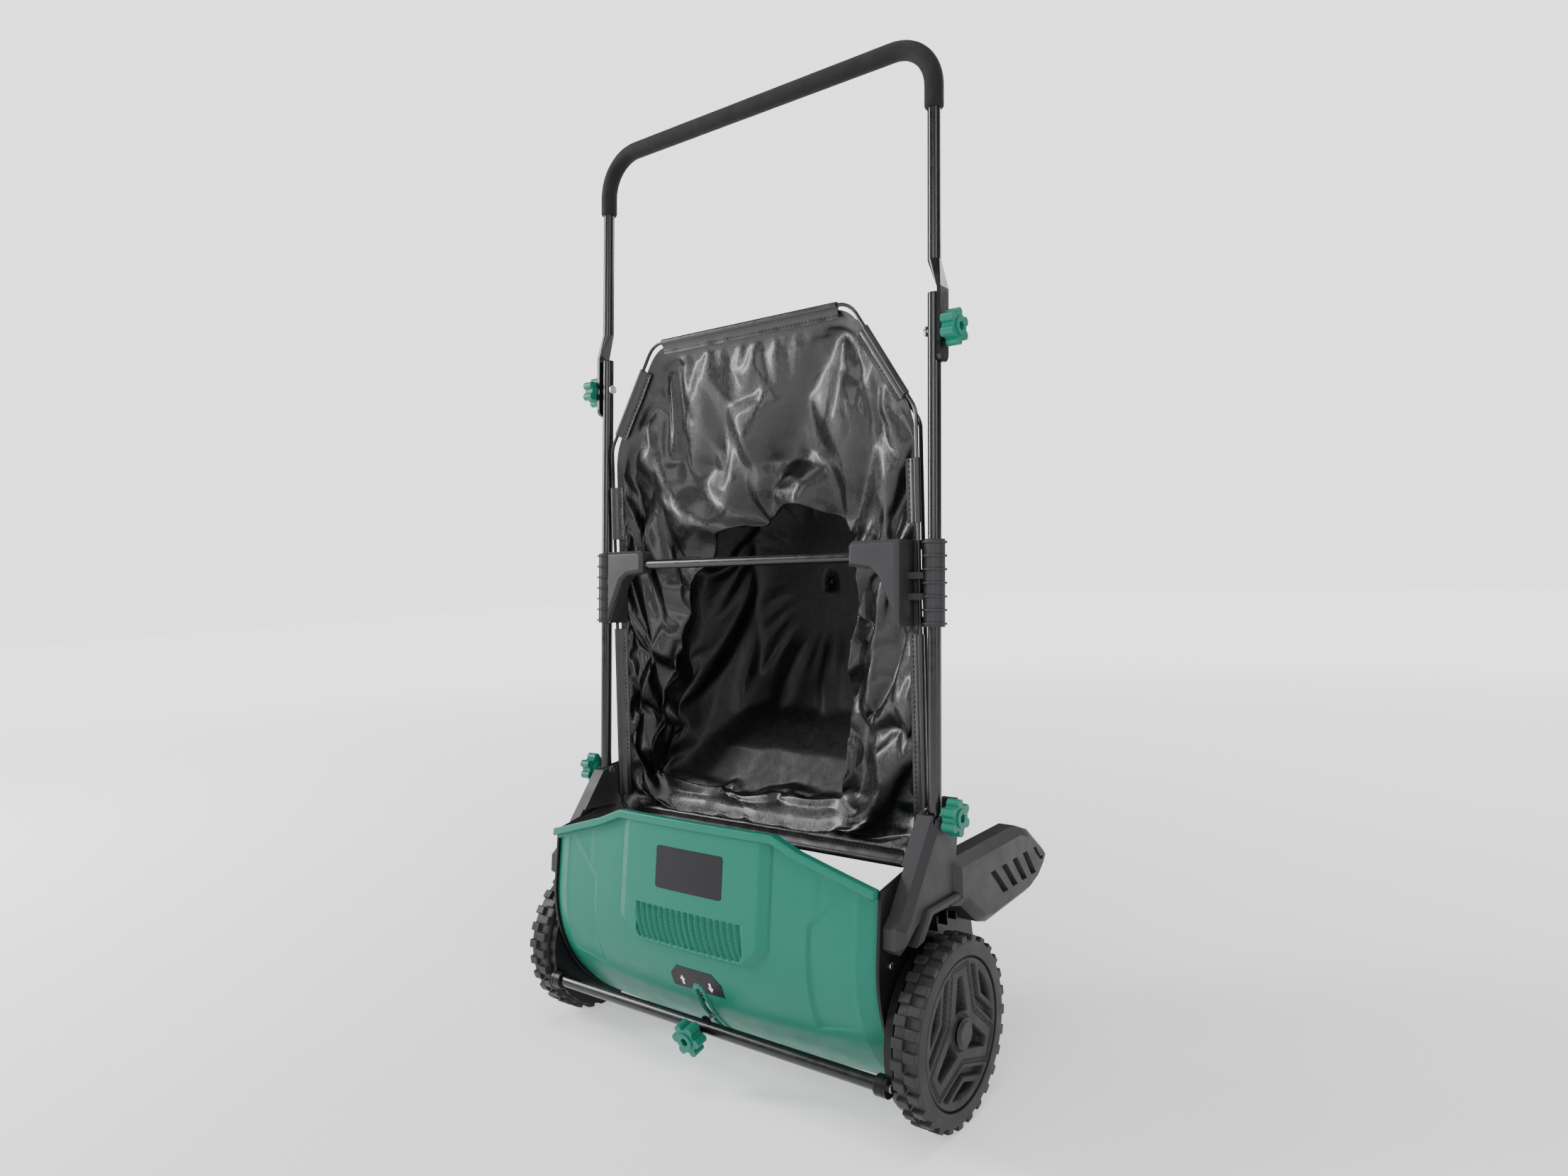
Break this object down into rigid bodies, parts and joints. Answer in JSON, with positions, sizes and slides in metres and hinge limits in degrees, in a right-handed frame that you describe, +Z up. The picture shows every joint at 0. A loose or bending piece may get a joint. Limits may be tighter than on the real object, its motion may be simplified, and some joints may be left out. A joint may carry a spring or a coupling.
{
  "type": "push lawn sweeper",
  "caption": "Push lawn sweeper with a green brush housing on two geared wheels, a folding loop handle with foam grip and a black collector bag.",
  "frame": {"origin": "on the floor, under the middle of the wheel axle", "axes": "+X along the axle to the right wheel (the side on the right when the front cover is seen), -Y to the front, +Z up"},
  "size_m": [0.641, 0.4219, 1.2742],
  "materials": {
    "green_plastic": "fine moulded texture, satin",
    "label_film": "satin printed film, blank",
    "grey_plastic": "fine spark-eroded texture",
    "wheel_plastic": "fine moulded texture",
    "black_plastic": "moulded, satin",
    "black_tube": "gloss black powder coat",
    "zinc_steel": "zinc plated",
    "gear_plastic": "natural nylon",
    "bronze": "sintered",
    "bristle": "drawn nylon filament",
    "bag_cloth": "coated woven sheet, glossy",
    "hem_vinyl": "smooth vinyl",
    "foam": "closed-cell foam, matte"
  },
  "bodies": {
    "housing": {"front_cover": "green_plastic", "label_plate": "label_film", "height_scale_plate": "label_film", "rear_ramp": "black_plastic", "cover_screws": "zinc_steel", "side_plate_left": "black_plastic", "side_plate_right": "black_plastic", "bracket_left": "grey_plastic", "bracket_right": "grey_plastic", "pivot_bolt_left": "zinc_steel", "pivot_bolt_right": "zinc_steel", "brush_bush_left": "bronze", "brush_bush_right": "bronze"},
    "swing_frame": {"crossbar": "black_tube", "boss_screws": "zinc_steel", "height_bolt": "zinc_steel", "height_washers": "black_plastic", "swing_plate_left": "black_plastic", "swing_plate_right": "black_plastic", "stub_axle_left": "zinc_steel", "stub_axle_right": "zinc_steel", "end_boss_left": "black_plastic", "end_boss_right": "black_plastic"},
    "left_wheel": {"wheel_left": "wheel_plastic", "ring_gear_left": "gear_plastic", "hub_cap_left": "grey_plastic", "wheel_bush_left": "bronze"},
    "right_wheel": {"wheel_right": "wheel_plastic", "ring_gear_right": "gear_plastic", "hub_cap_right": "grey_plastic", "wheel_bush_right": "bronze"},
    "left_pinion": {"pinion_left": "gear_plastic"},
    "right_pinion": {"pinion_right": "gear_plastic"},
    "brush": {"brush_shaft": "zinc_steel", "brush_core": "black_plastic", "bristles": "bristle"},
    "lower_handle": {"tube_caps": "black_plastic", "cross_tube": "black_tube", "bag_front_frame": "black_tube", "bag_rear_frame": "black_tube", "bag": "bag_cloth", "bag_hem": "hem_vinyl", "lower_tube_left": "black_tube", "lower_tube_right": "black_tube", "clamp_left": "grey_plastic", "clamp_right": "grey_plastic", "fold_bolt_left": "zinc_steel", "fold_bolt_right": "zinc_steel"},
    "upper_handle": {"upper_handle": "black_tube", "foam_grip": "foam"},
    "left_fold_knob": {"knob_fold_left": "green_plastic"},
    "right_fold_knob": {"knob_fold_right": "green_plastic"},
    "left_pivot_knob": {"knob_pivot_left": "green_plastic"},
    "right_pivot_knob": {"knob_pivot_right": "green_plastic"},
    "height_knob": {"knob_height": "green_plastic"}
  },
  "joints": [
    {"name": "height_swing", "type": "hinge", "parent": "housing", "child": "swing_frame", "pos_m": [0, 0.054, 0.108], "axis": [-1, 0, 0], "range_deg": [0, 5]},
    {"name": "left_wheel_roll", "type": "hinge", "parent": "swing_frame", "child": "left_wheel", "pos_m": [-0.3, 0, 0.108], "axis": [1, 0, 0], "continuous": true},
    {"name": "right_wheel_roll", "type": "hinge", "parent": "swing_frame", "child": "right_wheel", "pos_m": [0.3, 0, 0.108], "axis": [1, 0, 0], "continuous": true},
    {"name": "left_pinion_spin", "type": "hinge", "parent": "swing_frame", "child": "left_pinion", "pos_m": [-0.285, 0.054, 0.108], "axis": [1, 0, 0], "continuous": true},
    {"name": "right_pinion_spin", "type": "hinge", "parent": "swing_frame", "child": "right_pinion", "pos_m": [0.285, 0.054, 0.108], "axis": [1, 0, 0], "continuous": true},
    {"name": "brush_spin", "type": "hinge", "parent": "housing", "child": "brush", "pos_m": [0, 0.054, 0.108], "axis": [1, 0, 0], "continuous": true},
    {"name": "handle_lean", "type": "hinge", "parent": "housing", "child": "lower_handle", "pos_m": [0, 0.0195, 0.349], "axis": [-1, 0, 0], "range_deg": [0, 45]},
    {"name": "handle_fold", "type": "hinge", "parent": "lower_handle", "child": "upper_handle", "pos_m": [0, 0.05836, 0.91467], "axis": [1, 0, 0], "range_deg": [0, 160]},
    {"name": "left_fold_knob_turn", "type": "hinge", "parent": "lower_handle", "child": "left_fold_knob", "pos_m": [-0.303, 0.05836, 0.91467], "axis": [-1, 0, 0], "continuous": true},
    {"name": "left_pivot_knob_turn", "type": "hinge", "parent": "housing", "child": "left_pivot_knob", "pos_m": [-0.303, 0.0195, 0.349], "axis": [-1, 0, 0], "continuous": true},
    {"name": "right_fold_knob_turn", "type": "hinge", "parent": "lower_handle", "child": "right_fold_knob", "pos_m": [0.303, 0.05836, 0.91467], "axis": [1, 0, 0], "continuous": true},
    {"name": "right_pivot_knob_turn", "type": "hinge", "parent": "housing", "child": "right_pivot_knob", "pos_m": [0.303, 0.0195, 0.349], "axis": [1, 0, 0], "continuous": true},
    {"name": "height_knob_turn", "type": "hinge", "parent": "swing_frame", "child": "height_knob", "pos_m": [0, -0.11164, 0.06974], "axis": [0, -0.9743, -0.2251], "continuous": true}
  ],
  "couplings": [
    {"joint": "left_pinion_spin", "follows": "left_wheel_roll", "ratio": 4},
    {"joint": "right_pinion_spin", "follows": "right_wheel_roll", "ratio": 4},
    {"joint": "brush_spin", "follows": "right_wheel_roll", "ratio": 4}
  ]
}
